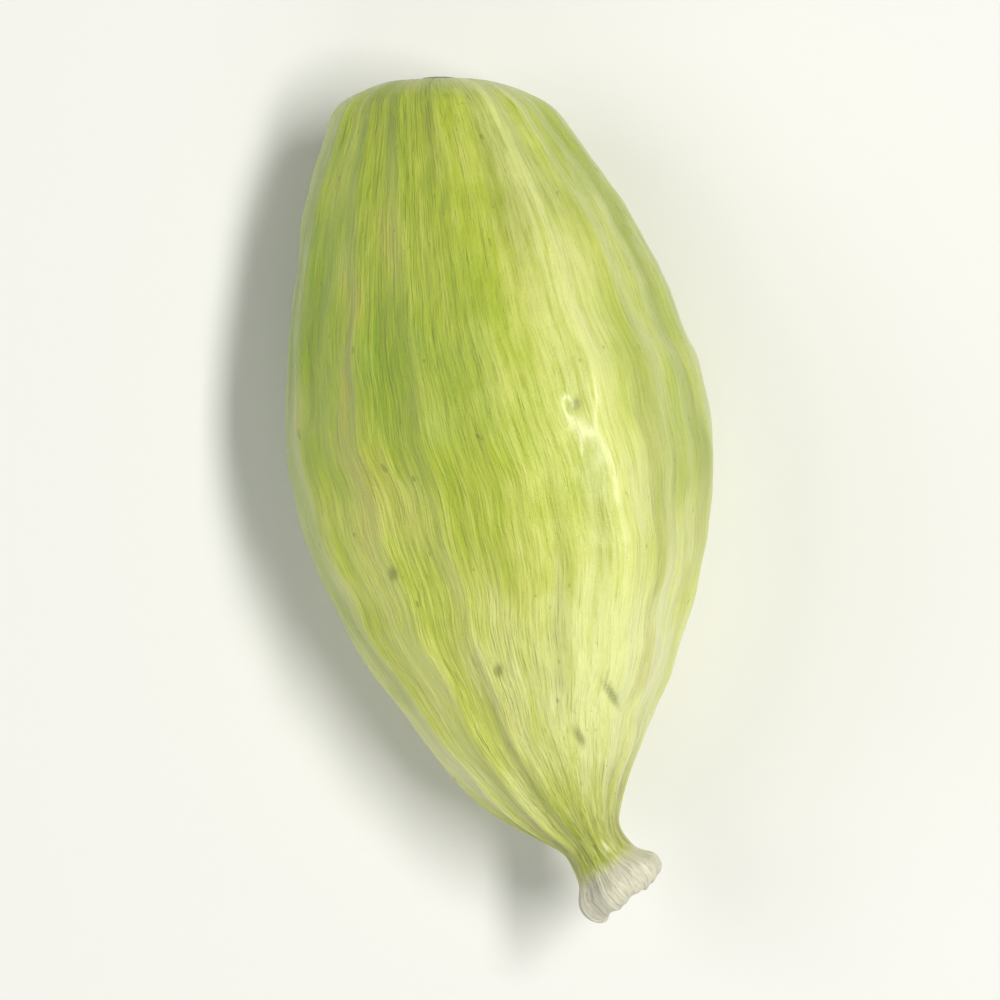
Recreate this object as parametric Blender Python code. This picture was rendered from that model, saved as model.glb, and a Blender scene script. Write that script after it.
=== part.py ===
"""A dried green cardamom pod, lying on its broadest face.

The pod is a three-sided capsule that grew in one piece. Its mesh starts as a sphere. The sphere's
rings of points are spread along the outline of the pod: from the middle of the stalk scar over the
body and the slim neck to the rim of the flower ring, and down into the ring's hollow. Each ring of
points takes a rounded three-sided section with lengthwise ribs raised on it. The neck is then bent
to one side, the stalk end is slanted, and the face that the pod rests on gets a small flat spot.
"""

import math

import bmesh
import bpy
import numpy as np

MM = 0.001

# Driving dimensions in metres. Along the pod, the stalk end is at 0.
LENGTH = 16.75 * MM
WIDTH = 8.4 * MM
HEIGHT = 7.1 * MM
STALK_WIDTH = 0.92 * MM
STALK_DIMPLE = 0.20 * MM
SHOULDER_AT = 0.06 * MM
SHOULDER_FROM = 0.70 * MM
SHOULDER_ALONG = 1.60 * MM
SHOULDER_WIDE = 1.82 * MM
NECK_WIDTH = 1.24 * MM
RING_WIDTH = 1.88 * MM
RING_DEPTH = 0.62 * MM
HOLLOW_WIDTH = 0.96 * MM
HOLLOW_DEPTH = 0.95 * MM
HOLLOW_ROUNDING = 0.30 * MM
ANGLE_RIB = 0.16 * MM
FACE_RIB = 0.09 * MM
FURROW = 0.07 * MM
DENT = 0.06 * MM
REST_SINK = 0.20 * MM

# The body's outline from above, from the round shoulder at the stalk to the neck: share of the
# length, share of the half-width.
BODY_OUTLINE = (
    (0.175, 0.78),
    (0.300, 0.92),
    (0.445, 1.00),
    (0.590, 0.89),
    (0.715, 0.68),
    (0.815, 0.44),
    (0.872, 0.26),
)
NECK_AT = 0.918
FLARE_AT = 0.952
FLARE_SHARE = 1.1

# The three rounded angles of the section: direction in degrees, 0 towards +Y and 90 upwards, and how
# far each stands out of a round core. The section turns a little on its way to the neck.
ANGLES = ((62.0, 0.34), (196.0, 0.36), (336.0, 0.36))
ANGLE_SHARPNESS = 5.0
TWIST = math.radians(-10.0)

# Ribs on the face that follows each angle, how wide a rib is, and how unlike they are
FACE_RIBS = (4, 5, 3)
RIB_SPREAD = math.radians(4.4)
RIB_UNEVEN = 0.25
RIB_SWAY = math.radians(2.0)
RIB_SWAYS = 1.4
FURROW_SPREAD = math.radians(10.0)
DENTS_AROUND = 3.0
DENTS_ALONG = 3.0
DENT_SLANT = 1.8

# Where along the pod a feature fades in or out, in shares of the length
STALK_TO_BODY = (-0.05, 0.06)
BODY_TO_NECK = (0.74, 0.92)
RIBS_FROM = (0.0, 0.05)
RIBS_TO = (0.86, 0.95)
RIBS_ON_RING = 0.2
FACES_FROM = (0.12, 0.40)
FACES_TO = (0.80, 0.93)
SLANT_TO = (0.0, 0.33)
FLATTENED_TO = (0.0, 0.32)

# How the pod is bent and lies
NECK_BEND = math.radians(30.0)
BEND_FROM = 0.74
STALK_SLANT = 0.16
STALK_FLATTENING = 0.10
AXIS_DROOP = 0.42 * MM

# Resolution of the solid
SIDES = 84
ROWS = 50
CURVE_STEPS = 24
FINEST_ROW = 0.30 * MM
ROW_GROWTH = 0.14
ROW_TURN = math.radians(36.0)

HUSK_COLOUR = (0.38, 0.47, 0.075, 1.0)
HUSK_ROUGHNESS = 0.55


def smooth_step(value, limits):
    """0 up to the first limit, 1 from the second on, and a smooth rise between them."""
    start, end = limits
    share = np.clip((np.asarray(value, float) - start) / (end - start), 0.0, 1.0)
    return share * share * (3.0 - 2.0 * share)


def hump(turns, direction, spread):
    """1 in a direction round the section, falling off on both sides of it like a bell."""
    away = (turns - direction + math.pi) % (2.0 * math.pi) - math.pi
    return np.exp(-0.5 * (away / spread) ** 2)


def centred(values):
    """The values moved and stretched to run from -1 to 1."""
    middle = (values.max() + values.min()) / 2
    return (values - middle) / ((values.max() - values.min()) / 2)


def smooth_line(points):
    """A centripetal Catmull-Rom curve through the points."""
    points = np.array(points, float)
    first = 2.0 * points[0] - points[1]
    last = 2.0 * points[-1] - points[-2]
    points = np.vstack([first, points, last])
    gaps = np.sqrt(np.hypot(*np.diff(points, axis=0).T))
    share = (np.arange(CURVE_STEPS) / CURVE_STEPS)[:, None]
    line = []
    for number in range(1, len(points) - 2):
        before, start, end, after = points[number - 1 : number + 3]
        gap_before, gap, gap_after = gaps[number - 1 : number + 2]
        straight = (end - start) / gap
        leaving = (start - before) / gap_before - (end - before) / (gap_before + gap) + straight
        arriving = straight - (after - start) / (gap + gap_after) + (after - end) / gap_after
        bulge = leaving * share * (1.0 - share) ** 2 - arriving * share**2 * (1.0 - share)
        line.append(start + (end - start) * smooth_step(share, (0.0, 1.0)) + gap * bulge)
    return np.vstack([*line, points[-2:-1]])


def arc(centre, along, wide, start, end, count):
    """Points of an elliptic arc, with angles in degrees from straight outwards to the neck's side."""
    turns = np.radians(np.linspace(start, end, count))
    return [(centre[0] + along * math.sin(t), centre[1] + wide * math.cos(t)) for t in turns]


def stalk_end():
    """Outline of the scar of the stalk in its dimple, and of the round shoulder about it."""
    stalk = STALK_WIDTH / 2
    scar = [(0.0, 0.0), (0.0, 0.7 * stalk), (0.5 * STALK_DIMPLE, stalk), (STALK_DIMPLE, 1.5 * stalk)]
    centre = (SHOULDER_AT + SHOULDER_ALONG, SHOULDER_FROM)
    return scar + arc(centre, SHOULDER_ALONG, SHOULDER_WIDE, -85.0, -20.0, 5)


def neck_end():
    """Outline of the slim neck, the rounded rim of the flower ring, and the hollow inside it."""
    neck = NECK_WIDTH / 2
    hollow = HOLLOW_WIDTH / 2
    lip = (RING_WIDTH / 2 - hollow) / 2
    rim = (LENGTH - RING_DEPTH / 2, hollow + lip)
    floor = LENGTH - HOLLOW_DEPTH
    points = [(LENGTH * NECK_AT, neck), (LENGTH * FLARE_AT, FLARE_SHARE * neck)]
    points += arc(rim, RING_DEPTH / 2, lip, -25.0, 170.0, 6)
    return points + [(floor + HOLLOW_ROUNDING, 0.95 * hollow), (floor, 0.6 * hollow), (floor, 0.0)]


def outline():
    """(along, half-width) from the middle of the stalk scar to the bottom of the ring's hollow."""
    body = [(LENGTH * along, WIDTH / 2 * wide) for along, wide in BODY_OUTLINE]
    return smooth_line(stalk_end() + body + neck_end())


def rows_along(line):
    """(along, half-width, and the outward direction's two parts) for each ring of points.

    The rings lie closer together where the pod is slim and where the outline turns.
    """
    steps = np.diff(line, axis=0)
    middle = (line[1:, 1] + line[:-1, 1]) / 2
    directions = np.unwrap(np.arctan2(steps[:, 1], steps[:, 0]))
    turning = np.abs(np.diff(directions, prepend=directions[0]))
    weight = np.hypot(*steps.T) / (FINEST_ROW + ROW_GROWTH * middle) + turning / ROW_TURN
    share = np.concatenate([[0.0], np.cumsum(weight)])
    wanted = np.linspace(0.0, share[-1], ROWS + 1)
    slope = np.gradient(line, axis=0)
    slope /= np.hypot(*slope.T)[:, None]
    table = np.column_stack([line, -slope[:, 1], slope[:, 0]])
    return np.column_stack([np.interp(wanted, share, column) for column in table.T])


def faces():
    """(direction of the angle it follows, width as an angle, number of ribs) for the three faces."""
    starts = [math.radians(angle) for angle, _ in ANGLES]
    ends = starts[1:] + [starts[0] + 2.0 * math.pi]
    return [(start, end - start, count) for start, end, count in zip(starts, ends, FACE_RIBS)]


def ribs():
    """(direction, height) of every rib: one along each angle, the others spread over the faces."""
    found = []
    for number, (start, width, count) in enumerate(faces()):
        found.append((start, ANGLE_RIB))
        for place in range(1, count + 1):
            uneven = 1.0 - RIB_UNEVEN + RIB_UNEVEN * math.sin(5.0 * place + 3.0 * number)
            found.append((start + width * place / (count + 1), FACE_RIB * uneven))
    return found


def relief(share, turns):
    """How far ribs, furrows and shallow dents stand out of the section, in metres."""
    height = np.zeros_like(turns)
    for number, (direction, rise) in enumerate(ribs()):
        sway = RIB_SWAY * math.sin(2.0 * math.pi * RIB_SWAYS * share + number)
        height += rise * hump(turns, direction + sway, RIB_SPREAD)
    height *= smooth_step(share, RIBS_FROM) * (1.0 - (1.0 - RIBS_ON_RING) * smooth_step(share, RIBS_TO))
    shallow = np.zeros_like(turns)
    for start, width, _ in faces():
        shallow -= FURROW * hump(turns, start + width / 2, FURROW_SPREAD)
    along = 2.0 * math.pi * DENTS_ALONG * share
    shallow += DENT * np.sin(DENTS_AROUND * turns + DENT_SLANT * along) * np.sin(along + np.cos(turns))
    return height + shallow * smooth_step(share, FACES_FROM) * (1.0 - smooth_step(share, FACES_TO))


def axis_height(share):
    """Height of the pod's axis: half the pod's height in the middle, a little less at both ends."""
    return HEIGHT / 2 - AXIS_DROOP * (2.0 * share - 1.0) ** 2


def ring_of_points(along, half, forward, outward):
    """One ring of points, whose section fits the outlines from above and from the side."""
    share = along / LENGTH
    turns = np.linspace(0.0, 2.0 * math.pi, SIDES, endpoint=False)
    body = smooth_step(share, STALK_TO_BODY) * (1.0 - smooth_step(share, BODY_TO_NECK))
    local = turns - TWIST * (share - 0.5)
    raised = relief(share, local)
    radius = 1.0 + raised * outward / max(half, NECK_WIDTH / 2)
    for angle, rise in ANGLES:
        nearness = np.cos(local - math.radians(angle)) - 1.0
        radius += body * rise * np.exp(ANGLE_SHARPNESS * nearness)
    flatness = 1.0 + (HEIGHT / WIDTH - 1.0) * body
    flatness *= 1.0 - STALK_FLATTENING * (1.0 - smooth_step(share, FLATTENED_TO))
    across = half * centred(radius * np.cos(turns))
    up = half * flatness * centred(radius * np.sin(turns))
    return np.column_stack([along + raised * forward, across, axis_height(share) + up])


def slant_stalk_end(points):
    """Pushes one side of the stalk end forwards, so that the end isn't square to the axis."""
    fade = 1.0 - smooth_step(points[:, 0] / LENGTH, SLANT_TO)
    points[:, 0] += STALK_SLANT * fade * points[:, 1]


def bend_neck(points):
    """Bends the neck round an upright line beside the pod, towards +Y."""
    start = BEND_FROM * LENGTH
    radius = (LENGTH - start) / NECK_BEND
    past = points[:, 0] > start
    turn = (points[past, 0] - start) / radius
    arm = radius - points[past, 1]
    points[past, 0] = start + arm * np.sin(turn)
    points[past, 1] = radius - arm * np.cos(turn)


def lay_down(points):
    """Centres the pod over the origin, and flattens the lowest part of its under face at height 0."""
    lowest = points.min(axis=0)
    highest = points.max(axis=0)
    points[:, :2] -= (lowest[:2] + highest[:2]) / 2
    points[:, 2] -= lowest[2] + REST_SINK
    points[:, 2] = np.maximum(points[:, 2], 0.0)


def pod_points():
    """All points of the pod, ring by ring from the stalk scar, SIDES to a ring."""
    points = np.vstack([ring_of_points(*row) for row in rows_along(outline())])
    slant_stalk_end(points)
    bend_neck(points)
    lay_down(points)
    return points.reshape(ROWS + 1, SIDES, 3)


def husk_material():
    """Dry yellow-green husk with a dull, papery gloss."""
    material = bpy.data.materials.new("husk")
    material.use_nodes = True
    shader = material.node_tree.nodes["Principled BSDF"]
    shader.inputs["Base Color"].default_value = HUSK_COLOUR
    shader.inputs["Roughness"].default_value = HUSK_ROUGHNESS
    shader.inputs["Metallic"].default_value = 0.0
    return material


def pod_mesh():
    """A sphere whose points are moved onto the pod, ring by ring."""
    points = pod_points()
    shape = bmesh.new()
    bmesh.ops.create_uvsphere(shape, u_segments=SIDES, v_segments=ROWS, radius=1.0)
    for vertex in shape.verts:
        row = round(math.acos(max(-1.0, min(1.0, vertex.co.z))) / math.pi * ROWS)
        side = round(math.atan2(vertex.co.y, vertex.co.x) / (2.0 * math.pi) * SIDES) % SIDES
        vertex.co = points[row, side]
    bmesh.ops.triangulate(shape, faces=shape.faces)
    bmesh.ops.recalc_face_normals(shape, faces=shape.faces)
    mesh = bpy.data.meshes.new("pod")
    shape.to_mesh(mesh)
    shape.free()
    mesh.shade_smooth()
    return mesh


def clear_scene():
    for item in list(bpy.data.objects):
        bpy.data.objects.remove(item, do_unlink=True)


def main():
    clear_scene()
    collection = bpy.data.collections.new("green_cardamom_pod")
    bpy.context.scene.collection.children.link(collection)
    pod = bpy.data.objects.new("pod", pod_mesh())
    pod.data.materials.append(husk_material())
    collection.objects.link(pod)


main()
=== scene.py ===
"""The looks of a dried green cardamom pod: its fine relief, colours, light and camera.

The husk is a fine mesh of the same shape as the solid. Fibres, puckers, veins and a few marks that
the photograph shows are raised on it, and the masks that its material mixes colours by are kept
as attributes of its points. Lengths are in millimetres until a mesh is made.
"""

import math

import bpy
import numpy as np
from mathutils import Matrix, Vector


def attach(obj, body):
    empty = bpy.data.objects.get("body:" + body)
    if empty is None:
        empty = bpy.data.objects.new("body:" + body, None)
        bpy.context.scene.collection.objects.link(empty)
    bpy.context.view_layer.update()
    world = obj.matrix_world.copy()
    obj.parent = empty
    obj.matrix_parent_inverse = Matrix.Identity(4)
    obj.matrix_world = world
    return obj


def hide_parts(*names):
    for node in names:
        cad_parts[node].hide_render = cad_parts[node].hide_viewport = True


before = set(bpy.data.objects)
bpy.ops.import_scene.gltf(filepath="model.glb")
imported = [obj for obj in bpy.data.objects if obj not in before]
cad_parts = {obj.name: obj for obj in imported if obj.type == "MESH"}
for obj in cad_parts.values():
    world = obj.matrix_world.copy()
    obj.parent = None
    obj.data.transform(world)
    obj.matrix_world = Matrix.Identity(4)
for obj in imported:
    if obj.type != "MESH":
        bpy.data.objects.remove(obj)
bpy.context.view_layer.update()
MM = 0.001

# Driving dimensions of the solid, in millimetres. Along the pod, the stalk end is at 0.
LENGTH = 16.75
WIDTH = 8.4
HEIGHT = 7.1
STALK_WIDTH = 0.92
STALK_FACE = 0.7
STALK_FOOT = 1.5
STALK_DIMPLE = 0.20
SHOULDER_AT = 0.06
SHOULDER_FROM = 0.70
SHOULDER_ALONG = 1.60
SHOULDER_WIDE = 1.82
SHOULDER_ARC = (-85.0, -20.0, 5)
NECK_WIDTH = 1.24
RING_WIDTH = 1.88
RING_DEPTH = 0.62
RIM_ARC = (-25.0, 170.0, 6)
HOLLOW_WIDTH = 0.96
HOLLOW_DEPTH = 0.95
HOLLOW_ROUNDING = 0.30
HOLLOW_WALL = 0.95
HOLLOW_FLOOR = 0.6
ANGLE_RIB = 0.16
FACE_RIB = 0.09
FURROW = 0.07
DENT = 0.06
REST_SINK = 0.20
BODY_OUTLINE = (
    (0.175, 0.78),
    (0.300, 0.92),
    (0.445, 1.00),
    (0.590, 0.89),
    (0.715, 0.68),
    (0.815, 0.44),
    (0.872, 0.26),
)
NECK_AT = 0.918
FLARE_AT = 0.952
FLARE_SHARE = 1.1
ANGLES = ((62.0, 0.34), (196.0, 0.36), (336.0, 0.36))
ANGLE_SHARPNESS = 5.0
TWIST = math.radians(-10.0)
FACE_RIBS = (4, 5, 3)
RIB_SPREAD = math.radians(4.4)
RIB_UNEVEN = 0.25
RIB_UNEVEN_TURNS = (5.0, 3.0)
RIB_SWAY = math.radians(2.0)
RIB_SWAYS = 1.4
FURROW_SPREAD = math.radians(10.0)
DENTS_AROUND = 3.0
DENTS_ALONG = 3.0
DENT_SLANT = 1.8
STALK_TO_BODY = (-0.05, 0.06)
BODY_TO_NECK = (0.74, 0.92)
RIBS_FROM = (0.0, 0.05)
RIBS_TO = (0.86, 0.95)
RIBS_ON_RING = 0.2
FACES_FROM = (0.12, 0.40)
FACES_TO = (0.80, 0.93)
SLANT_TO = (0.0, 0.33)
FLATTENED_TO = (0.0, 0.32)
NECK_BEND = math.radians(30.0)
BEND_FROM = 0.74
STALK_SLANT = 0.16
STALK_FLATTENING = 0.10
AXIS_DROOP = 0.42

# Resolution of the husk's mesh
SIDES = 264
ROWS = 358
CURVE_STEPS = 80
FINEST_ROW = 0.45
ROW_GROWTH = 0.12
ROW_TURN = math.radians(60.0)

# Fine relief in millimetres
FIBRE = 0.024
THREAD = 0.010
PUCKER = 0.040
SWELL = 0.055
VEIN = 0.040
BEAD = 0.050
TORN = 0.05
CREASE = 0.06
REST_ROUNDING = 0.06

# How the fine relief is spread: shares of a rib's width, of the way along, and of the height
WANDER = 0.05
SLIM_FADE = 0.6
CREST_SPREAD = 0.36
BEAD_SPREAD = 0.8
ANGLE_SPREAD = 1.7
HUSK_FROM = (0.0, 0.03)
HUSK_TO = (0.93, 0.96)
RING_FROM = (FLARE_AT - 0.012, FLARE_AT + 0.012)
UPPER_SIDE = (0.45, 0.60)

# Random patterns: waves round the pod, waves along it, and the seed
WANDER_WAVES = (7, 9, 11)
PATCH_WAVES = (9, 8, 27)
FIBRE_WAVES = (76, 6, 21)
THREAD_WAVES = (120, 22, 22)
PUCKER_WAVES = (30, 34, 23)
SWELL_WAVES = (11, 15, 24)
STRENGTH_WAVES = (14, 12, 25)
BEAD_WAVES = (18, 38, 26)
TEAR_WAVES = (17, 40, 31)
FRAY_WAVES = (40, 60, 32)
CREASE_WAVES = (26, 6, 33)
SHADE_WAVES = (6, 7, 41)
FLECK_WAVES = (15, 17, 42)

# Raised or sunk marks on the upper side: x, y, half-length, half-width, turn in degrees, rise
MARKS = (
    (-1.15, -0.15, 0.36, 0.22, 0, 0.060),
    (-3.20, 1.15, 0.36, 0.15, 6, 0.035),
    (-1.60, 1.55, 0.16, 0.14, 0, -0.075),
    (-1.62, 1.24, 0.34, 0.12, 8, 0.040),
    (-1.50, 1.92, 0.42, 0.13, -6, 0.045),
    (-0.75, 1.50, 0.26, 0.16, 0, 0.055),
    (4.05, 1.35, 0.40, 0.10, 25, -0.060),
    (4.75, 0.60, 0.30, 0.10, 20, -0.050),
    (3.20, -0.72, 0.16, 0.12, 0, -0.030),
    (1.05, -2.45, 0.18, 0.14, 0, -0.030),
)

# How pale the husk is, and where it grows paler or greener: along the pod, across it and round it. The
# paler band round the top is a painted highlight.
PALENESS = 0.38
PALER_TO_NECK = 0.36
GREENER_NECK = 0.25
PAINTED_TOP_HIGHLIGHT = 0.20
GREENER_LEFT = 0.24
SHADE = 0.10
FLECK = 0.06
# Where the painted highlight band lies round the section, just right of the top ridge, and how wide it
# is
HIGHLIGHT_TURN = math.radians(ANGLES[0][0] - 12.0)
HIGHLIGHT_SPREAD = math.radians(26.0)
PALER_FROM = (0.42, 0.80)
NECK_FROM = (0.80, 0.92)
NECK_TO = (0.945, 0.965)
LEFT_SIDE = (-1.5, 3.0)
LEFT_TO = (0.25, 0.60)
INSIDE_FROM = (0.010, 0.030)
SCAR_TO = (0.020, 0.045)

# Scales of the material's patterns: across the pod, up through it, and along it
STREAK_SCALE = (9.0, 9.0, 0.55)
THREAD_SCALE = (26.0, 26.0, 1.6)
BLOTCH_SCALE = (0.75, 0.75, 0.45)
PAPER_SCALE = (22.0, 22.0, 22.0)
SPECK_SCALE = (5.0, 5.0, 3.6)
CRINKLE_SCALE = (2.4, 2.4, 1.1)
CRINKLE_UNEVEN = 0.8
GRAIN_CORE = 0.42

# The camera: the pod's axis leans in the picture, neck down and to the right
LEAN = math.radians(9.3)
VIEW_WIDTH = 19.6
VIEW_ASIDE = -0.17
LENS = 200.0
SENSOR = 36.0
CLIP_START = 1.0
FLOOR_SIZE = 1500.0

# Each light: name, place to the picture's right, up and above, size, power and colour
LIGHTS = (
    ("key", (105.0, 20.0, 220.0), (40.0, 150.0), 0.48, (1.0, 0.985, 0.95)),
    ("fill", (-160.0, 30.0, 170.0), (130.0, 130.0), 0.12, (0.97, 0.99, 1.0)),
    ("front", (10.0, -190.0, 120.0), (120.0, 120.0), 0.07, (1.0, 1.0, 1.0)),
)
SKY_STRENGTH = 0.20


def smooth_step(value, limits):
    """0 up to the first limit, 1 from the second on, and a smooth rise between them."""
    start, end = limits
    share = np.clip((np.asarray(value, float) - start) / (end - start), 0.0, 1.0)
    return share * share * (3.0 - 2.0 * share)


def hump(turns, direction, spread):
    """1 in a direction round the section, falling off on both sides of it like a bell."""
    away = (turns - direction + math.pi) % (2.0 * math.pi) - math.pi
    return np.exp(-0.5 * (away / spread) ** 2)


def centred(values):
    """Each row of values moved and stretched to run from -1 to 1."""
    low = values.min(axis=1, keepdims=True)
    high = values.max(axis=1, keepdims=True)
    return (2.0 * values - high - low) / (high - low)


def spline_weights(part):
    """The weights of the four nearest values of a cubic spline, part of the way from the second."""
    back = 1.0 - part
    return (
        back**3 / 6.0,
        (3.0 * part**3 - 6.0 * part**2 + 4.0) / 6.0,
        (3.0 * back**3 - 6.0 * back**2 + 4.0) / 6.0,
        part**3 / 6.0,
    )


def waves(turns, share, pattern):
    """Smooth random waves, mostly from -1 to 1, which join up round the pod."""
    around, along, seed = pattern
    table = np.random.default_rng(seed).uniform(-1.8, 1.8, (along + 3, around))
    column = turns / (2.0 * math.pi) * around
    row = np.clip(share, 0.0, 1.0) * along
    first_column = np.floor(column).astype(int)
    first_row = np.minimum(np.floor(row).astype(int), along - 1)
    total = 0.0
    for step, weight in enumerate(spline_weights(row - first_row)):
        for aside, other in enumerate(spline_weights(column - first_column)):
            value = table[first_row + step, (first_column + aside) % around]
            total = total + weight * other * value
    return total


def smooth_line(points):
    """A centripetal Catmull-Rom curve through the points."""
    points = np.array(points, float)
    first = 2.0 * points[0] - points[1]
    last = 2.0 * points[-1] - points[-2]
    points = np.vstack([first, points, last])
    gaps = np.sqrt(np.hypot(*np.diff(points, axis=0).T))
    share = (np.arange(CURVE_STEPS) / CURVE_STEPS)[:, None]
    line = []
    for number in range(1, len(points) - 2):
        before, start, end, after = points[number - 1 : number + 3]
        gap_before, gap, gap_after = gaps[number - 1 : number + 2]
        straight = (end - start) / gap
        leaving = (start - before) / gap_before - (end - before) / (gap_before + gap) + straight
        arriving = straight - (after - start) / (gap + gap_after) + (after - end) / gap_after
        bulge = leaving * share * (1.0 - share) ** 2 - arriving * share**2 * (1.0 - share)
        line.append(start + (end - start) * smooth_step(share, (0.0, 1.0)) + gap * bulge)
    return np.vstack([*line, points[-2:-1]])


def arc(centre, along, wide, start, end, count):
    """Points of an elliptic arc, with angles in degrees from straight outwards to the neck's side."""
    turns = np.radians(np.linspace(start, end, count))
    return [(centre[0] + along * math.sin(t), centre[1] + wide * math.cos(t)) for t in turns]


def stalk_end():
    """Outline of the scar of the stalk in its dimple, and of the round shoulder about it."""
    stalk = STALK_WIDTH / 2
    scar = [(0.0, 0.0), (0.0, STALK_FACE * stalk)]
    dimple = [(STALK_DIMPLE / 2, stalk), (STALK_DIMPLE, STALK_FOOT * stalk)]
    centre = (SHOULDER_AT + SHOULDER_ALONG, SHOULDER_FROM)
    return scar + dimple + arc(centre, SHOULDER_ALONG, SHOULDER_WIDE, *SHOULDER_ARC)


def neck_end():
    """Outline of the slim neck, the rounded rim of the flower ring, and the hollow inside it."""
    neck = NECK_WIDTH / 2
    hollow = HOLLOW_WIDTH / 2
    lip = (RING_WIDTH / 2 - hollow) / 2
    rim = (LENGTH - RING_DEPTH / 2, hollow + lip)
    floor = LENGTH - HOLLOW_DEPTH
    points = [(LENGTH * NECK_AT, neck), (LENGTH * FLARE_AT, FLARE_SHARE * neck)]
    points += arc(rim, RING_DEPTH / 2, lip, *RIM_ARC)
    points.append((floor + HOLLOW_ROUNDING, HOLLOW_WALL * hollow))
    return points + [(floor, HOLLOW_FLOOR * hollow), (floor, 0.0)]


def outline():
    """(along, half-width) from the middle of the stalk scar to the bottom of the ring's hollow."""
    body = [(LENGTH * along, WIDTH / 2 * wide) for along, wide in BODY_OUTLINE]
    return smooth_line(stalk_end() + body + neck_end())


def rows_along(line):
    """(along, half-width, outward direction, way from the scar) for each ring of points."""
    steps = np.diff(line, axis=0)
    middle = (line[1:, 1] + line[:-1, 1]) / 2
    directions = np.unwrap(np.arctan2(steps[:, 1], steps[:, 0]))
    turning = np.abs(np.diff(directions, prepend=directions[0]))
    weight = np.hypot(*steps.T) / (FINEST_ROW + ROW_GROWTH * middle) + turning / ROW_TURN
    share = np.concatenate([[0.0], np.cumsum(weight)])
    way = np.concatenate([[0.0], np.cumsum(np.hypot(*steps.T))])
    wanted = np.linspace(0.0, share[-1], ROWS + 1)
    slope = np.gradient(line, axis=0)
    slope /= np.hypot(*slope.T)[:, None]
    table = np.column_stack([line, -slope[:, 1], slope[:, 0], way])
    return [np.interp(wanted, share, column)[:, None] for column in table.T]


def faces():
    """(direction of the angle it follows, width as an angle, number of ribs) for the three faces."""
    starts = [math.radians(angle) for angle, _ in ANGLES]
    ends = starts[1:] + [starts[0] + 2.0 * math.pi]
    return [(start, end - start, count) for start, end, count in zip(starts, ends, FACE_RIBS)]


def ribs():
    """(direction, height) of every rib: one along each angle, the others spread over the faces."""
    found = []
    by_place, by_face = RIB_UNEVEN_TURNS
    for number, (start, width, count) in enumerate(faces()):
        found.append((start, ANGLE_RIB))
        for place in range(1, count + 1):
            uneven = 1.0 - RIB_UNEVEN + RIB_UNEVEN * math.sin(by_place * place + by_face * number)
            found.append((start + width * place / (count + 1), FACE_RIB * uneven))
    return found


def rib_lines(share, local, spread):
    """The sum of all ribs as bells of that spread, 1 or less high, each with its own height."""
    total = np.zeros_like(share * local)
    for number, (direction, rise) in enumerate(ribs()):
        sway = RIB_SWAY * np.sin(2.0 * math.pi * RIB_SWAYS * share + number)
        total += rise / ANGLE_RIB * hump(local, direction + sway, spread)
    return total


def angle_lines(share, local):
    """Bells along the three angles of the section alone, wider than a rib. The material paints them
    pale, partly as the angles' own paler ribs and partly as a painted reflection rim along the outline.
    """
    total = np.zeros_like(share * local)
    for angle, _ in ANGLES:
        total += hump(local, math.radians(angle), ANGLE_SPREAD * RIB_SPREAD)
    return np.clip(total, 0.0, 1.0)


def relief(share, local):
    """How far ribs, furrows and shallow dents stand out of the section."""
    height = ANGLE_RIB * rib_lines(share, local, RIB_SPREAD)
    height *= smooth_step(share, RIBS_FROM) * (1.0 - (1.0 - RIBS_ON_RING) * smooth_step(share, RIBS_TO))
    shallow = np.zeros_like(height)
    for start, width, _ in faces():
        shallow -= FURROW * hump(local, start + width / 2, FURROW_SPREAD)
    along = 2.0 * math.pi * DENTS_ALONG * share
    shallow += DENT * np.sin(DENTS_AROUND * local + DENT_SLANT * along) * np.sin(along + np.cos(local))
    return height + shallow * smooth_step(share, FACES_FROM) * (1.0 - smooth_step(share, FACES_TO))


def husk_grid():
    """Named values for every point of the husk: its place in the solid's shape and round the pod."""
    along, half, forward, outward, way = rows_along(outline())
    share = along / LENGTH
    turns = np.linspace(0.0, 2.0 * math.pi, SIDES, endpoint=False)[None, :]
    local = turns - TWIST * (share - 0.5)
    body = smooth_step(share, STALK_TO_BODY) * (1.0 - smooth_step(share, BODY_TO_NECK))
    raised = relief(share, local)
    radius = 1.0 + raised * outward / np.maximum(half, NECK_WIDTH / 2)
    for angle, rise in ANGLES:
        nearness = np.cos(local - math.radians(angle)) - 1.0
        radius += body * rise * np.exp(ANGLE_SHARPNESS * nearness)
    flatness = 1.0 + (HEIGHT / WIDTH - 1.0) * body
    flatness *= 1.0 - STALK_FLATTENING * (1.0 - smooth_step(share, FLATTENED_TO))
    up = half * flatness * centred(radius * np.sin(turns))
    height = HEIGHT / 2 - AXIS_DROOP * (2.0 * share - 1.0) ** 2
    across = half * centred(radius * np.cos(turns))
    points = np.stack([along + raised * forward, across, height + up], -1)
    slant_stalk_end(points)
    bend_neck(points)
    centre = (points.min(axis=(0, 1)) + points.max(axis=(0, 1))) / 2
    points[..., :2] -= centre[:2]
    points[..., 2] -= points[..., 2].min() + REST_SINK
    return {"points": points, "share": share, "half": half, "way": way, "local": local, "turns": turns}


def slant_stalk_end(points):
    """Pushes one side of the stalk end forwards, so that the end isn't square to the axis."""
    fade = 1.0 - smooth_step(points[..., 0] / LENGTH, SLANT_TO)
    points[..., 0] += STALK_SLANT * fade * points[..., 1]


def bend_neck(points):
    """Bends the neck round an upright line beside the pod, towards +Y."""
    start = BEND_FROM * LENGTH
    radius = (LENGTH - start) / NECK_BEND
    past = points[..., 0] > start
    turn = (points[past, 0] - start) / radius
    arm = radius - points[past, 1]
    points[past, 0] = start + arm * np.sin(turn)
    points[past, 1] = radius - arm * np.cos(turn)


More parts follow.
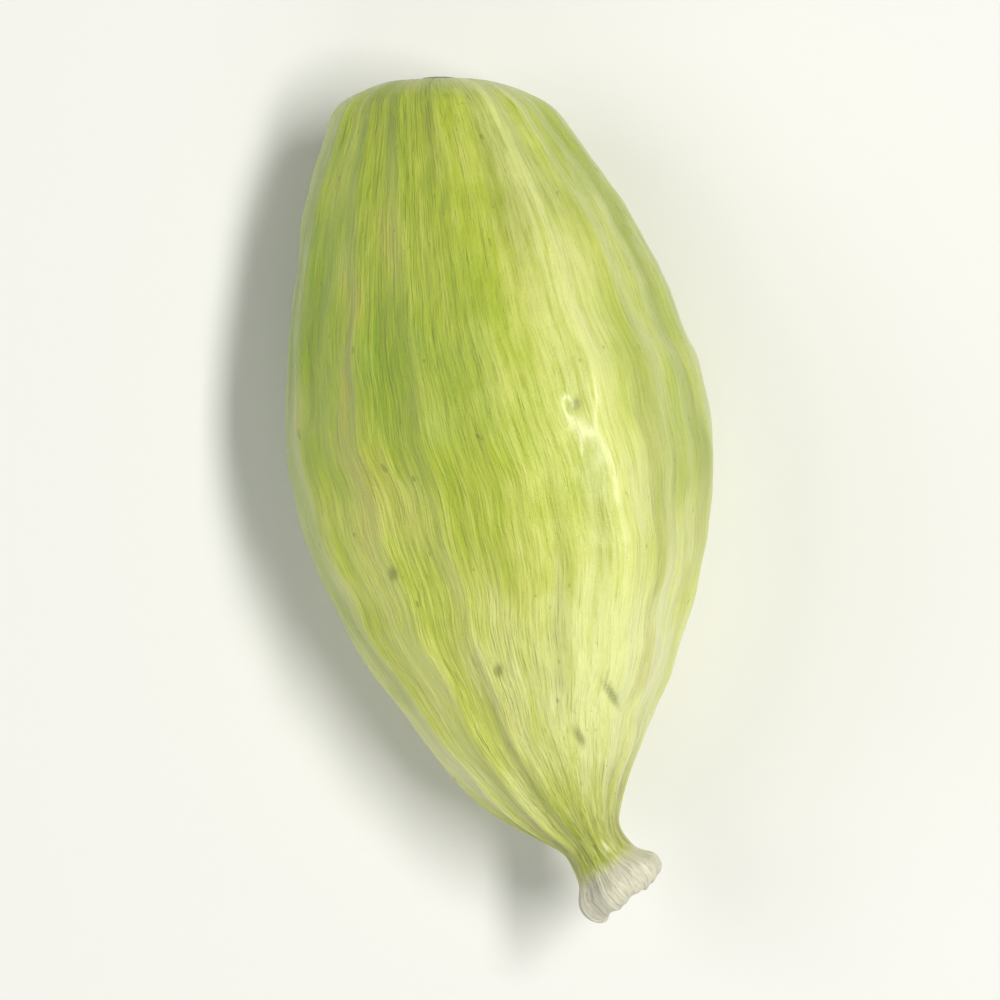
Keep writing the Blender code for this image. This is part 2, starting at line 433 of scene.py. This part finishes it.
def outward_normals(points):
    """The direction straight out of the surface at every point of the grid."""
    around = np.roll(points, -1, axis=1) - np.roll(points, 1, axis=1)
    along = np.gradient(points, axis=0)
    normals = np.cross(around, along)
    length = np.linalg.norm(normals, axis=2, keepdims=True)
    return normals / np.maximum(length, 1e-9)


def mark_heights(points):
    """The raised and sunk marks of the upper side, and a mask of the sunk ones, which the material
    darkens partly as painted shade.
    """
    rise = np.zeros(points.shape[:2])
    sunk = np.zeros(points.shape[:2])
    upper = smooth_step(points[..., 2] / HEIGHT, UPPER_SIDE)
    for x, y, long, wide, turn, height in MARKS:
        angle = math.radians(turn)
        off_x = points[..., 0] - x
        off_y = points[..., 1] - y
        lengthwise = (off_x * math.cos(angle) + off_y * math.sin(angle)) / long
        crosswise = (off_y * math.cos(angle) - off_x * math.sin(angle)) / wide
        bell = upper * np.exp(-(lengthwise**2) - crosswise**2)
        rise += height * bell
        if height < 0.0:
            sunk = np.maximum(sunk, bell)
    return rise, sunk


def wandering(grid):
    """The direction of each fibre round the pod, which wanders a little on its way along."""
    return grid["local"] + WANDER * waves(grid["turns"], grid["share"], WANDER_WAVES)


def husk_relief(grid, crests, strength):
    """Fibres, threads, puckers, swells and the veins and beads on the ribs, and the fibres alone."""
    share, local, turns = grid["share"], grid["local"], grid["turns"]
    lines = wandering(grid)
    patchy = np.clip(0.65 + 0.7 * waves(turns, share, PATCH_WAVES), 0.1, 1.4)
    fibres = patchy * waves(lines, share, FIBRE_WAVES)
    threads = waves(lines, share, THREAD_WAVES)
    puckers = 0.4 - np.abs(waves(lines, share, PUCKER_WAVES))
    swells = waves(lines, share, SWELL_WAVES)
    beads = waves(turns, share, BEAD_WAVES) * rib_lines(share, local, BEAD_SPREAD * RIB_SPREAD)
    height = FIBRE * fibres + THREAD * threads + PUCKER * puckers * (1.0 - crests)
    height += VEIN * crests * np.clip(strength, 0.0, 1.3) + BEAD * beads
    return height + SWELL * swells, fibres


def ring_relief(turns, share):
    """The torn, creased surface of the flower ring."""
    torn = waves(turns, share, TEAR_WAVES) + 0.5 * waves(turns, share, FRAY_WAVES)
    return TORN * 0.5 * torn - CREASE * np.abs(waves(turns, share, CREASE_WAVES))


def fine_relief(grid):
    """Height of the fine relief at every point, and the masks that the material mixes colours by."""
    share, local, turns = grid["share"], grid["local"], grid["turns"]
    girth = np.clip(grid["half"] / (WIDTH / 2), 0.0, 1.0) ** SLIM_FADE
    husk = smooth_step(share, HUSK_FROM) * (1.0 - smooth_step(share, HUSK_TO))
    ring = smooth_step(share, RING_FROM)
    crests = np.clip(rib_lines(share, local, CREST_SPREAD * RIB_SPREAD), 0.0, 1.0)
    strength = 0.75 + 0.45 * waves(turns, share, STRENGTH_WAVES)
    on_husk, fibres = husk_relief(grid, crests, strength)
    marks, sunk = mark_heights(grid["points"])
    height = on_husk * girth * husk + ring * ring_relief(turns, share) + marks
    masks = {
        "crest": crests * husk * np.clip(strength, 0.2, 1.2),
        # pale angle ribs: partly the angles' own paler ribs, partly a painted reflection rim along the
        # outline
        "angle": angle_lines(share, local) * husk * np.clip(strength, 0.3, 1.2),
        # fibre height; the material darkens the low places between the fibres with painted shade
        "fibre": 0.5 + 0.5 * np.clip(fibres, -1.0, 1.0) * husk,
        "ring": ring * np.ones_like(local),
        "sunk": sunk,
    }
    return height, masks


def rounded_floor(height):
    """Heights no lower than 0, with a soft edge where the surface meets the flat spot."""
    near = np.clip(REST_ROUNDING - np.abs(height), 0.0, None)
    return np.maximum(height, 0.0) + near**2 / (4.0 * REST_ROUNDING)


def paleness(grid):
    """How pale the husk is: paler towards the neck, greener at the left and the neck, with a painted
    highlight as a paler band along the top.
    """
    share, turns = grid["share"], grid["turns"]
    towards_neck = smooth_step(share, PALER_FROM)
    neck = smooth_step(share, NECK_FROM) * (1.0 - smooth_step(share, NECK_TO))
    left = smooth_step(-grid["points"][..., 1], LEFT_SIDE) * (1.0 - smooth_step(share, LEFT_TO))
    pale = PALENESS + PALER_TO_NECK * towards_neck - GREENER_NECK * neck - GREENER_LEFT * left
    # painted highlight: a paler band round the top, just right of the ridge, where the key light falls
    pale += PAINTED_TOP_HIGHLIGHT * hump(grid["local"], HIGHLIGHT_TURN, HIGHLIGHT_SPREAD)
    pale += SHADE * waves(turns, share, SHADE_WAVES) + FLECK * waves(turns, share, FLECK_WAVES)
    return np.clip(pale, 0.0, 1.0)


def colour_masks(grid):
    """Masks that follow the pod's shape: how pale the husk is with its painted top highlight, the
    hollow that gets painted shade, and the stalk's scar.
    """
    way = grid["way"] / grid["way"][-1]
    rim = way[np.argmax(grid["share"][:, 0])]
    whole = np.ones_like(grid["local"])
    return {
        "pale": paleness(grid),
        # the hollow inside the ring, which the material darkens brown as painted shade
        "hollow": smooth_step(way - rim, INSIDE_FROM) * whole,
        "scar": (1.0 - smooth_step(way, SCAR_TO)) * whole,
    }


def grain_places(grid):
    """Places in a straight, stretched-out copy of the pod, for patterns that run along it."""
    turns = wandering(grid)
    core = GRAIN_CORE * WIDTH
    way = grid["way"] * np.ones_like(turns)
    return np.stack([core * np.cos(turns), core * np.sin(turns), way], axis=-1)


def closed_faces():
    """Corner numbers of the quads between the rings of points, and of the fans at both ends."""
    side = np.arange(SIDES)
    after = (side + 1) % SIDES
    quads = []
    for row in range(ROWS - 2):
        here = 1 + row * SIDES
        there = here + SIDES
        quads.append(np.stack([here + side, here + after, there + after, there + side], 1))
    last = 1 + (ROWS - 2) * SIDES
    tip = last + SIDES
    first_fan = np.stack([np.zeros(SIDES, int), 1 + after, 1 + side], 1)
    last_fan = np.stack([last + side, last + after, np.full(SIDES, tip)], 1)
    return first_fan.tolist() + np.vstack(quads).tolist() + last_fan.tolist()


def map_places(way):
    """The unrolled husk's map: once round the pod across it, from the scar to the hollow up it."""
    level = (way / way[-1])[:, 0]
    left = np.arange(SIDES) / SIDES
    right = left + 1.0 / SIDES
    middle = (left + right) / 2
    base = [np.stack([middle, right, left], 1), np.tile([0.0, level[1], level[1]], (SIDES, 1))]
    places = [np.stack(base, -1).reshape(-1, 2)]
    for row in range(1, ROWS - 1):
        across = np.stack([left, right, right, left], 1)
        up = np.tile([level[row], level[row], level[row + 1], level[row + 1]], (SIDES, 1))
        places.append(np.stack([across, up], -1).reshape(-1, 2))
    across = np.stack([left, right, middle], 1)
    up = np.tile([level[ROWS - 1], level[ROWS - 1], 1.0], (SIDES, 1))
    places.append(np.stack([across, up], -1).reshape(-1, 2))
    return np.vstack(places)


def per_point(values):
    """Values of the grid in the order of the mesh's points, with one point at each end."""
    flat = values[1:-1].reshape(-1, *values.shape[2:])
    return np.concatenate([values[:1, 0], flat, values[-1:, 0]])


def husk_mesh():
    """The husk's mesh, with its map and the masks on its points."""
    grid = husk_grid()
    height, masks = fine_relief(grid)
    masks.update(colour_masks(grid))
    points = grid["points"] + outward_normals(grid["points"]) * height[..., None]
    points[..., 2] = rounded_floor(points[..., 2])
    mesh = bpy.data.meshes.new("husk")
    mesh.from_pydata((per_point(points) * MM).tolist(), [], closed_faces())
    mesh.shade_smooth()
    for name, values in masks.items():
        mask = mesh.attributes.new(name, "FLOAT", "POINT")
        mask.data.foreach_set("value", per_point(values).astype(np.float32))
    grain = mesh.attributes.new("grain", "FLOAT_VECTOR", "POINT")
    grain.data.foreach_set("vector", per_point(grain_places(grid)).astype(np.float32).ravel())
    unrolled = mesh.uv_layers.new(name="OFBake")
    unrolled.uv.foreach_set("vector", map_places(grid["way"]).astype(np.float32).ravel())
    return mesh


class Tree:
    """Short calls for adding nodes to a material."""

    def __init__(self, name):
        self.material = bpy.data.materials.new(name)
        self.material.use_nodes = True
        self.nodes = self.material.node_tree.nodes
        self.shader = self.nodes["Principled BSDF"]

    def join(self, value, socket):
        """Sets a socket to a number or a colour, or links it to another node's output."""
        if isinstance(value, bpy.types.NodeSocket):
            self.material.node_tree.links.new(value, socket)
        else:
            socket.default_value = value

    def attribute(self, name, output="Fac"):
        node = self.nodes.new("ShaderNodeAttribute")
        node.attribute_name = name
        return node.outputs[output]

    def maths(self, operation, first, second=0.0, clamp=False):
        node = self.nodes.new("ShaderNodeMath")
        node.operation = operation
        node.use_clamp = clamp
        self.join(first, node.inputs[0])
        self.join(second, node.inputs[1])
        return node.outputs[0]

    def ranged(self, value, limits, results=(0.0, 1.0)):
        """Limits of the value turned into results, smoothly between them."""
        node = self.nodes.new("ShaderNodeMapRange")
        node.interpolation_type = "SMOOTHSTEP"
        self.join(value, node.inputs["Value"])
        node.inputs["From Min"].default_value, node.inputs["From Max"].default_value = limits
        node.inputs["To Min"].default_value, node.inputs["To Max"].default_value = results
        return node.outputs["Result"]

    def stretched(self, vector, scale):
        node = self.nodes.new("ShaderNodeVectorMath")
        node.operation = "MULTIPLY"
        self.join(vector, node.inputs[0])
        node.inputs[1].default_value = scale
        return node.outputs[0]

    def noise(self, vector, scale, detail, roughness):
        node = self.nodes.new("ShaderNodeTexNoise")
        self.join(self.stretched(vector, scale), node.inputs["Vector"])
        node.inputs["Scale"].default_value = 1.0
        node.inputs["Detail"].default_value = detail
        node.inputs["Roughness"].default_value = roughness
        return node.outputs["Fac"]

    def cells(self, vector, scale, uneven):
        """How near the edge between two cells of a wrinkled pattern is, 0 on the edge."""
        node = self.nodes.new("ShaderNodeTexVoronoi")
        node.feature = "DISTANCE_TO_EDGE"
        self.join(self.stretched(vector, scale), node.inputs["Vector"])
        node.inputs["Scale"].default_value = 1.0
        node.inputs["Randomness"].default_value = uneven
        return node.outputs["Distance"]

    def blend(self, share, first, second):
        """The first colour where the share is 0, the second where it is 1."""
        node = self.nodes.new("ShaderNodeMix")
        node.data_type = "RGBA"
        by_name = {socket.identifier: socket for socket in node.inputs}
        self.join(share, by_name["Factor_Float"])
        self.join(first, by_name["A_Color"])
        self.join(second, by_name["B_Color"])
        return next(socket for socket in node.outputs if socket.identifier == "Result_Color")

    def ramp(self, value, stops):
        node = self.nodes.new("ShaderNodeValToRGB")
        self.join(value, node.inputs[0])
        elements = node.color_ramp.elements
        while len(elements) < len(stops):
            elements.new(0.5)
        for element, (place, colour) in zip(elements, stops):
            element.position = place
            element.color = colour
        return node.outputs["Color"]

    def bump(self, height, distance, under=None):
        node = self.nodes.new("ShaderNodeBump")
        node.inputs["Strength"].default_value = 1.0
        node.inputs["Distance"].default_value = distance
        self.join(height, node.inputs["Height"])
        if under is not None:
            self.join(under, node.inputs["Normal"])
        return node.outputs["Normal"]


def srgb(red, green, blue):
    """A colour given in the 0 to 255 steps of a picture, as the shaders want it."""
    parts = [part / 255.0 for part in (red, green, blue)]
    return (*(((part + 0.055) / 1.055) ** 2.4 for part in parts), 1.0)


GREEN = srgb(150, 178, 38)
LIME = srgb(184, 200, 62)
YELLOW = srgb(212, 220, 104)
PALE = srgb(234, 240, 156)
STRAW = srgb(232, 228, 164)
OCHRE = srgb(196, 180, 84)
OLIVE = srgb(108, 116, 38)
CREAM = srgb(243, 239, 214)
BROWN = srgb(92, 66, 36)
TAN = srgb(188, 164, 108)
FLOOR_GREY = srgb(238, 238, 234)


def husk_patterns(tree):
    """Streaks, threads, blotches, paper, specks and wrinkles, all along the stretched-out pod."""
    grain = tree.attribute("grain", "Vector")
    return {
        "streaks": tree.noise(grain, STREAK_SCALE, 3.0, 0.6),
        "threads": tree.noise(grain, THREAD_SCALE, 2.0, 0.55),
        "blotches": tree.noise(grain, BLOTCH_SCALE, 3.0, 0.55),
        "paper": tree.noise(grain, PAPER_SCALE, 3.0, 0.6),
        "specks": tree.noise(grain, SPECK_SCALE, 1.0, 0.4),
        "crinkle": tree.cells(grain, CRINKLE_SCALE, CRINKLE_UNEVEN),
    }


def green_husk(tree, patterns):
    """The husk from green to pale, with ochre blotches, painted olive shade between the fibres, olive
    threads, straw ribs, and pale angles.
    """
    streaks, blotches = patterns["streaks"], patterns["blotches"]
    pale = tree.maths("ADD", tree.attribute("pale"), tree.ranged(blotches, (0.3, 0.7), (-0.14, 0.14)))
    pale = tree.maths("ADD", pale, tree.ranged(streaks, (0.3, 0.7), (-0.10, 0.10)))
    colour = tree.ramp(pale, ((0.0, GREEN), (0.38, LIME), (0.66, YELLOW), (1.0, PALE)))
    colour = tree.blend(tree.ranged(blotches, (0.56, 0.74), (0.0, 0.35)), colour, OCHRE)
    # painted shade: olive darkening between the raised fibres, where the fibre mask is low
    valley_shade = tree.ranged(tree.attribute("fibre"), (0.1, 0.5), (0.28, 0.0))
    colour = tree.blend(valley_shade, colour, OLIVE)
    dark_threads = tree.ranged(patterns["threads"], (0.28, 0.46), (0.20, 0.0))
    colour = tree.blend(dark_threads, colour, OLIVE)
    broken = tree.ranged(streaks, (0.3, 0.6), (0.05, 0.35))
    colour = tree.blend(tree.maths("MULTIPLY", tree.attribute("crest"), broken), colour, STRAW)
    # the pale along the angles is partly the angles' own paler ribs and partly a painted reflection:
    # the pale rim along the outline
    broken = tree.ranged(streaks, (0.3, 0.6), (0.15, 0.6))
    return tree.blend(tree.maths("MULTIPLY", tree.attribute("angle"), broken), colour, PALE)


def husk_colour(tree, patterns):
    """The green husk with its dark spots, its sunk marks darkened partly as painted shade, the dry
    ring, the scar and the hollow's painted shade.
    """
    streaks = patterns["streaks"]
    colour = green_husk(tree, patterns)
    colour = tree.blend(tree.ranged(patterns["specks"], (0.73, 0.80), (0.0, 0.40)), colour, OLIVE)
    # the sunk marks darkened olive: partly their own dark specks, partly painted shade in the dents
    sunk = tree.ranged(tree.attribute("sunk"), (0.2, 1.0), (0.0, 0.6))
    colour = tree.blend(sunk, colour, OLIVE)
    worn = tree.ranged(streaks, (0.2, 0.5), (0.8, 1.0))
    colour = tree.blend(tree.maths("MULTIPLY", tree.attribute("ring"), worn), colour, CREAM)
    scar = tree.blend(tree.ranged(streaks, (0.35, 0.6)), BROWN, TAN)
    colour = tree.blend(tree.attribute("scar"), colour, scar)
    # painted shade: the hollow inside the ring is darkened brown
    return tree.blend(tree.attribute("hollow"), colour, BROWN)


def husk_gloss(tree, patterns):
    """Roughness, and the weight of the waxy coat, which the dry ring doesn't have."""
    ring = tree.attribute("ring")
    rough = tree.ranged(patterns["streaks"], (0.3, 0.7), (0.32, 0.48))
    rough = tree.maths("ADD", rough, tree.maths("MULTIPLY", ring, 0.25), True)
    coat = tree.ranged(patterns["blotches"], (0.3, 0.6), (0.25, 0.6))
    return rough, tree.maths("MULTIPLY", coat, tree.ranged(ring, (0.0, 1.0), (1.0, 0.0)))


def husk_bumps(tree, patterns):
    """Wrinkles, streaks, threads and paper, one bump on another."""
    normal = tree.bump(patterns["crinkle"], 0.05 * MM)
    normal = tree.bump(patterns["streaks"], 0.05 * MM, normal)
    normal = tree.bump(patterns["threads"], 0.02 * MM, normal)
    return tree.bump(patterns["paper"], 0.012 * MM, normal)


def husk_material():
    tree = Tree("husk_dry_green")
    inputs = tree.shader.inputs
    patterns = husk_patterns(tree)
    rough, coat = husk_gloss(tree, patterns)
    tree.join(husk_colour(tree, patterns), inputs["Base Color"])
    tree.join(rough, inputs["Roughness"])
    tree.join(husk_bumps(tree, patterns), inputs["Normal"])
    tree.join(coat, inputs["Coat Weight"])
    inputs["Coat Roughness"].default_value = 0.26
    inputs["Subsurface Weight"].default_value = 0.06
    inputs["Subsurface Radius"].default_value = (0.7, 0.8, 0.2)
    inputs["Subsurface Scale"].default_value = 0.35 * MM
    inputs["Sheen Weight"].default_value = 0.10
    inputs["Sheen Roughness"].default_value = 0.4
    return tree.material


def add(name, mesh, material):
    item = bpy.data.objects.new(name, mesh)
    item.data.materials.append(material)
    bpy.context.scene.collection.objects.link(item)
    return item


def add_husk():
    husk = add("husk", husk_mesh(), husk_material())
    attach(husk, "root")
    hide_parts("pod")


def floor_material():
    tree = Tree("floor_pale")
    tree.shader.inputs["Base Color"].default_value = FLOOR_GREY
    tree.shader.inputs["Roughness"].default_value = 0.9
    return tree.material


def add_floor():
    size = FLOOR_SIZE * MM
    mesh = bpy.data.meshes.new("floor")
    corners = [(-size, -size, 0.0), (size, -size, 0.0), (size, size, 0.0), (-size, size, 0.0)]
    mesh.from_pydata(corners, [], [(0, 1, 2, 3)])
    add("floor", mesh, floor_material())


def picture_axes():
    """Directions of the picture's right and up sides in the frame, seen from straight above."""
    right = Vector((math.sin(LEAN), math.cos(LEAN), 0.0))
    up = Vector((-math.cos(LEAN), math.sin(LEAN), 0.0))
    return right, up


def add_camera():
    right, up = picture_axes()
    distance = VIEW_WIDTH * MM * LENS / SENSOR
    data = bpy.data.cameras.new("camera")
    data.lens = LENS
    data.sensor_width = SENSOR
    data.clip_start = CLIP_START * MM
    camera = bpy.data.objects.new("camera", data)
    place = right * VIEW_ASIDE * MM + Vector((0.0, 0.0, HEIGHT / 2 * MM + distance))
    turned = Matrix((right, up, (0, 0, 1))).transposed().to_4x4()
    camera.matrix_world = Matrix.Translation(place) @ turned
    bpy.context.scene.collection.objects.link(camera)
    bpy.context.scene.camera = camera


def add_light(name, place, size, power, colour):
    """A soft light that faces the pod. Its place and its size run along the picture's right and up."""
    right, up = picture_axes()
    data = bpy.data.lights.new(name, "AREA")
    data.shape = "RECTANGLE"
    data.size, data.size_y = size[0] * MM, size[1] * MM
    data.energy = power
    data.color = colour
    light = bpy.data.objects.new(name, data)
    aside, ahead, above = place
    back = (right * aside + up * ahead + Vector((0.0, 0.0, above))).normalized()
    across = up.cross(back).normalized()
    turned = Matrix((across, back.cross(across), back)).transposed().to_4x4()
    light.matrix_world = Matrix.Translation(back * Vector(place).length * MM) @ turned
    bpy.context.scene.collection.objects.link(light)


def add_lights():
    for light in LIGHTS:
        add_light(*light)
    world = bpy.data.worlds.new("studio")
    world.use_nodes = True
    sky = world.node_tree.nodes["Background"]
    sky.inputs["Color"].default_value = (1.0, 1.0, 1.0, 1.0)
    sky.inputs["Strength"].default_value = SKY_STRENGTH
    bpy.context.scene.world = world
    bpy.context.scene.view_settings.view_transform = "Standard"


def main():
    add_camera()
    add_husk()
    add_floor()
    add_lights()


main()
